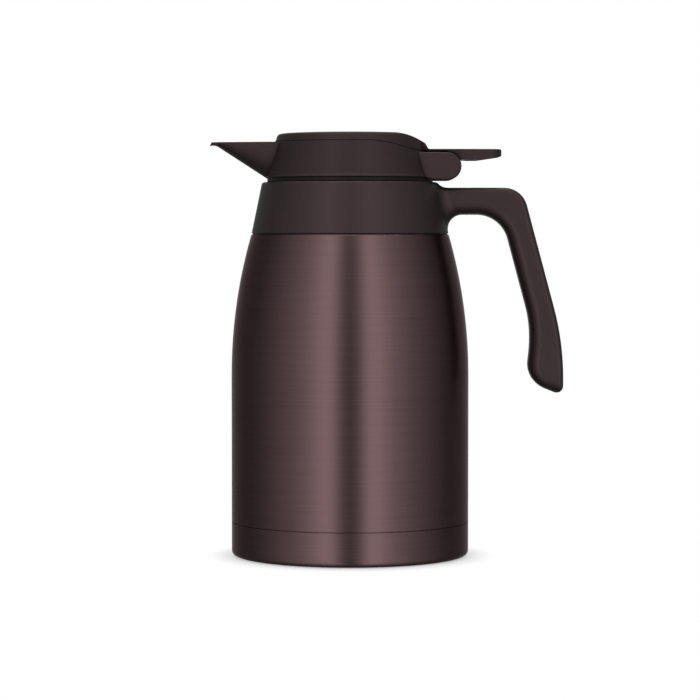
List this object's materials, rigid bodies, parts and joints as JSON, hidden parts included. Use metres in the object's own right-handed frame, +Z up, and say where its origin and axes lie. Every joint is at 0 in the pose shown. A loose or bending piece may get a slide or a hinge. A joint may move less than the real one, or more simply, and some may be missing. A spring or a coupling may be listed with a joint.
{
  "type": "thermal carafe",
  "caption": "Double-wall vacuum carafe with an open hook handle, pouring beak and a thumb-lever flip lid on a screw-in insulated stopper.",
  "frame": {"origin": "on the vessel axis, in the plane of the foot ring that the carafe stands on", "axes": "+Z up along the vessel axis; +X towards the handle and thumb lever, so the spout points to -X; the XZ plane is the plane of symmetry"},
  "size_m": [0.2006, 0.135, 0.24],
  "materials": {
    "lacquered_steel": "brown lacquer over brushed stainless steel",
    "bare_steel": "bare stainless steel, satin",
    "pin_steel": "ground stainless wire and rod",
    "copper": "bright copper foil",
    "brown_plastic": "matt dark brown moulded polypropylene",
    "inner_plastic": "satin dark brown moulded polypropylene",
    "silicone": "translucent grey silicone",
    "foot_rubber": "dark brown soft elastomer",
    "foam": "rigid foam",
    "solder": "grey sealing bead"
  },
  "bodies": {
    "vessel": {"outer_shell": "lacquered_steel", "end_disc": "bare_steel", "vent_seal": "solder", "getter": "bare_steel", "base_cup": "lacquered_steel", "foot_ring": "foot_rubber", "liner_floor": "bare_steel", "liner_body": "bare_steel", "copper_foil": "copper", "neck_gasket": "silicone", "collar_handle": "brown_plastic", "thread_insert": "inner_plastic"},
    "head": {"pour_head": "brown_plastic", "hinge_pin": "pin_steel", "return_spring": "pin_steel", "stopper_body": "inner_plastic", "stopper_base": "inner_plastic", "stopper_foam": "foam", "stopper_seal": "silicone"},
    "lid": {"flip_cover": "brown_plastic", "lid_plate": "inner_plastic", "valve_pad": "silicone", "pad_clip": "inner_plastic"}
  },
  "joints": [
    {"name": "head_lift", "type": "slide", "parent": "vessel", "child": "head", "axis": [0, 0, 1], "range_m": [0, 0.06]},
    {"name": "lid_hinge", "type": "hinge", "parent": "head", "child": "lid", "pos_m": [0.05501, 0, 0.22145], "axis": [0, 1, 0], "range_deg": [0, 25], "stiffness_Nm_per_rad": 0.08, "springref_deg": -28.65, "deforming": ["return_spring"]}
  ]
}
